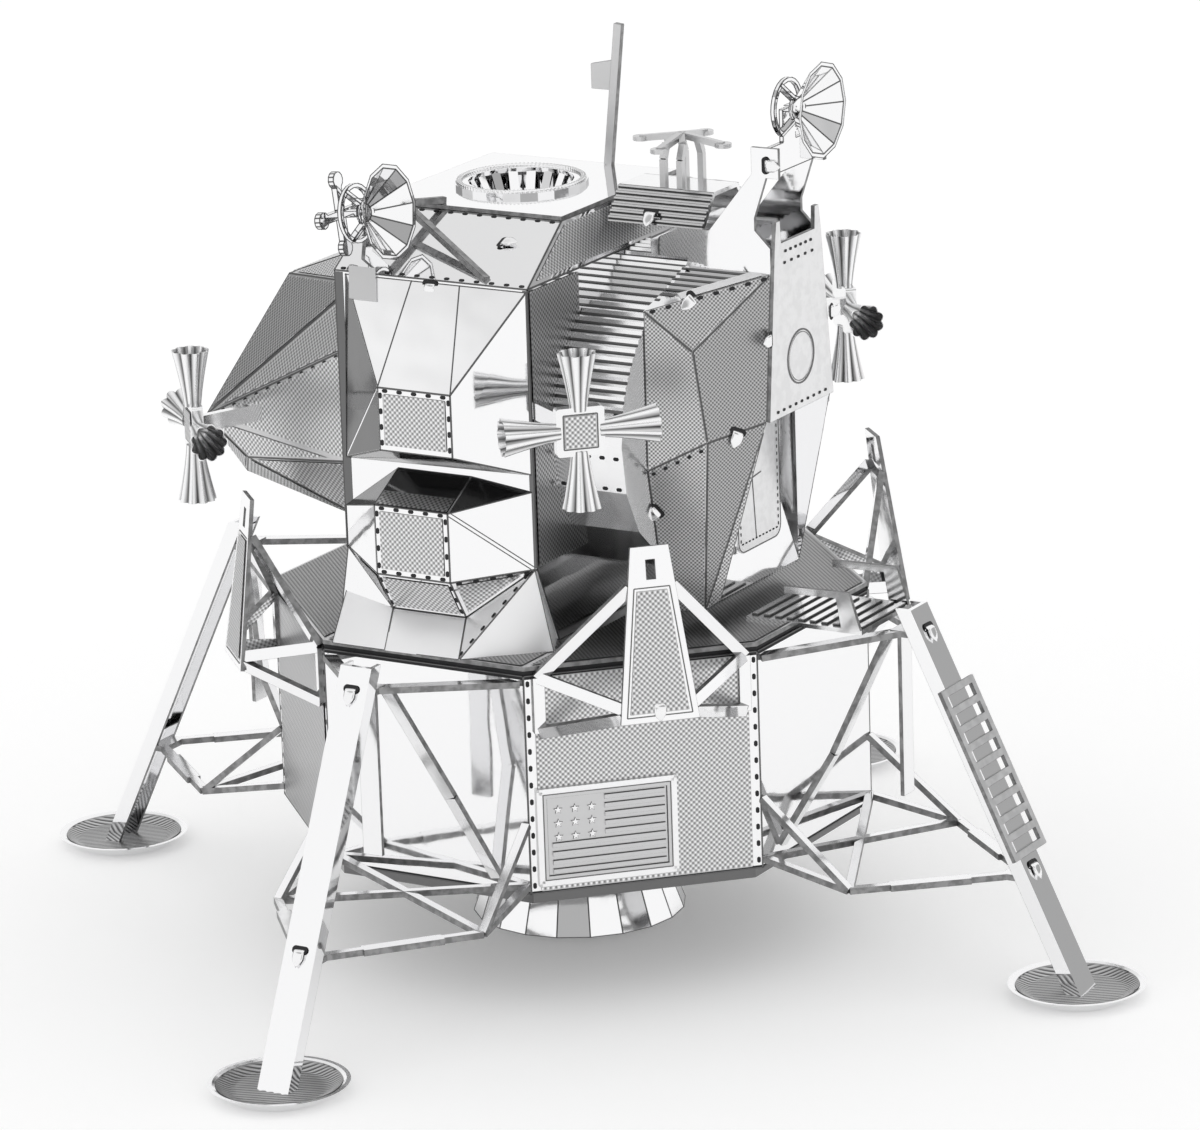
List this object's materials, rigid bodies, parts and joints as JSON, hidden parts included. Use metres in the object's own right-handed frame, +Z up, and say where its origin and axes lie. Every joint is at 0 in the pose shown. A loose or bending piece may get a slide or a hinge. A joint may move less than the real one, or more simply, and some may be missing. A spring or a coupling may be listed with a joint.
{
  "type": "lunar lander model",
  "caption": "Folded sheet-metal display model of a two-stage lunar lander on braced legs with round footpads, a ladder, thruster clusters and dish antennas.",
  "frame": {"origin": "on the floor, in the middle between the footpads", "axes": "+Z up, -Y towards the front with the hatch and ladder, -X towards the lander's own right side"},
  "size_m": [0.0908, 0.0908, 0.0653],
  "materials": {
    "bright_sheet": "mirror-polished stainless sheet",
    "dimpled_sheet": "stainless sheet etched with a fine diamond grid of dimples",
    "ribbed_sheet": "stainless sheet etched with fine parallel ribs"
  },
  "bodies": {
    "root": {"aft_bay": "dimpled_sheet", "bulge_lower_left": "bright_sheet", "bulge_lower_right": "bright_sheet", "bulge_upper_left": "bright_sheet", "bulge_upper_right": "bright_sheet", "cabin": "ribbed_sheet", "cross_antenna": "bright_sheet", "descent_base": "bright_sheet", "descent_body": "bright_sheet", "descent_deck": "dimpled_sheet", "docking_ring": "bright_sheet", "engine_bell": "bright_sheet", "flag_plate": "bright_sheet", "footpad_front": "bright_sheet", "footpad_left": "bright_sheet", "footpad_rear": "bright_sheet", "footpad_right": "bright_sheet", "front_mask": "dimpled_sheet", "front_plate": "bright_sheet", "hatch": "bright_sheet", "ladder": "bright_sheet", "leg_front": "bright_sheet", "leg_left": "bright_sheet", "leg_rear": "bright_sheet", "leg_right": "bright_sheet", "mast": "bright_sheet", "midsection": "bright_sheet", "outrigger_front": "bright_sheet", "outrigger_left": "bright_sheet", "outrigger_rear": "bright_sheet", "outrigger_right": "bright_sheet", "plume_deflector_left_front": "dimpled_sheet", "plume_deflector_left_rear": "dimpled_sheet", "plume_deflector_right_front": "dimpled_sheet", "plume_deflector_right_rear": "dimpled_sheet", "porch": "bright_sheet", "radar_arm_left": "bright_sheet", "radar_arm_right": "bright_sheet", "radar_dish": "bright_sheet", "rcs_quad_left_front": "ribbed_sheet", "rcs_quad_left_rear": "ribbed_sheet", "rcs_quad_right_front": "ribbed_sheet", "rcs_quad_right_rear": "ribbed_sheet", "roof": "ribbed_sheet", "side_dish": "bright_sheet", "side_dish_mount": "bright_sheet", "top_deck": "bright_sheet", "truss_front": "bright_sheet", "truss_left": "bright_sheet", "truss_rear": "bright_sheet", "truss_right": "bright_sheet"}
  },
  "joints": []
}
